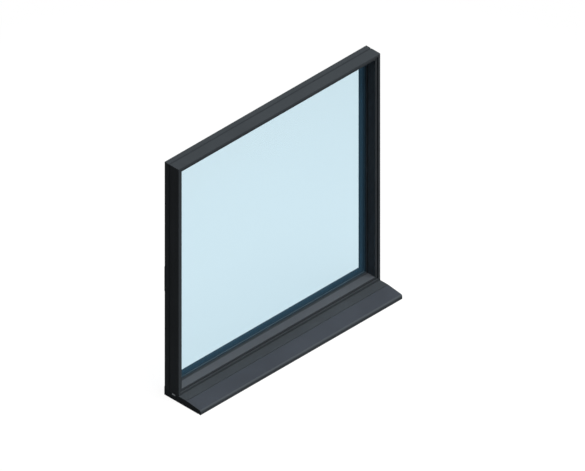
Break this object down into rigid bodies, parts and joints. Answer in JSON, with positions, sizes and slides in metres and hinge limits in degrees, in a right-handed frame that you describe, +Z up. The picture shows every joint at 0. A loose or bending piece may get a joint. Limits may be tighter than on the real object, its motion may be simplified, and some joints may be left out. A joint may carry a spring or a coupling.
{
  "type": "aluminium casement window",
  "caption": "Square dark grey aluminium casement window: slim frame with flush sash, double glazing in a deep reveal, and a projecting sloped sill that it stands on.",
  "frame": {"origin": "middle of the sill's flat underside, halfway between its nose and its back", "axes": "+X to the right seen from outside, +Y into the room, +Z up"},
  "size_m": [1, 0.2038, 1],
  "materials": {
    "anthracite_powder_coat": "satin powder coat",
    "pale_grey_coat": "satin powder coat",
    "polyamide_break": "matt, extruded",
    "clear_glass": "clear float glass",
    "warm_edge_spacer": "matt",
    "grey_gasket": "matt, extruded",
    "moulded_end_cap": "moulded, fine grain",
    "mill_aluminium": "mill finish, extruded",
    "handle_coat": "satin powder coat on a die casting"
  },
  "bodies": {
    "root": {"frame_outer_bottom": "anthracite_powder_coat", "frame_inner_bottom": "anthracite_powder_coat", "thermal_break_bottom": "polyamide_break", "sash_bottom": "anthracite_powder_coat", "glazing_bead_bottom": "anthracite_powder_coat", "reveal_trim_bottom": "pale_grey_coat", "frame_outer_left": "anthracite_powder_coat", "frame_inner_left": "anthracite_powder_coat", "thermal_break_left": "polyamide_break", "sash_left": "anthracite_powder_coat", "glazing_bead_left": "anthracite_powder_coat", "reveal_trim_left": "pale_grey_coat", "frame_outer_head": "anthracite_powder_coat", "frame_inner_head": "anthracite_powder_coat", "thermal_break_head": "polyamide_break", "sash_head": "anthracite_powder_coat", "glazing_bead_head": "anthracite_powder_coat", "reveal_trim_head": "pale_grey_coat", "frame_outer_right": "anthracite_powder_coat", "frame_inner_right": "anthracite_powder_coat", "thermal_break_right": "polyamide_break", "sash_right": "anthracite_powder_coat", "glazing_bead_right": "anthracite_powder_coat", "reveal_trim_right": "pale_grey_coat", "outer_pane": "clear_glass", "inner_pane": "clear_glass", "glass_spacer": "warm_edge_spacer", "outer_gasket": "grey_gasket", "inner_gasket": "grey_gasket", "sash_seal": "grey_gasket", "sill": "anthracite_powder_coat", "sill_end_cap_left": "moulded_end_cap", "sill_end_cap_right": "moulded_end_cap", "sill_coupling_bar": "mill_aluminium", "handle_base": "handle_coat", "handle_lever": "handle_coat"}
  },
  "joints": []
}
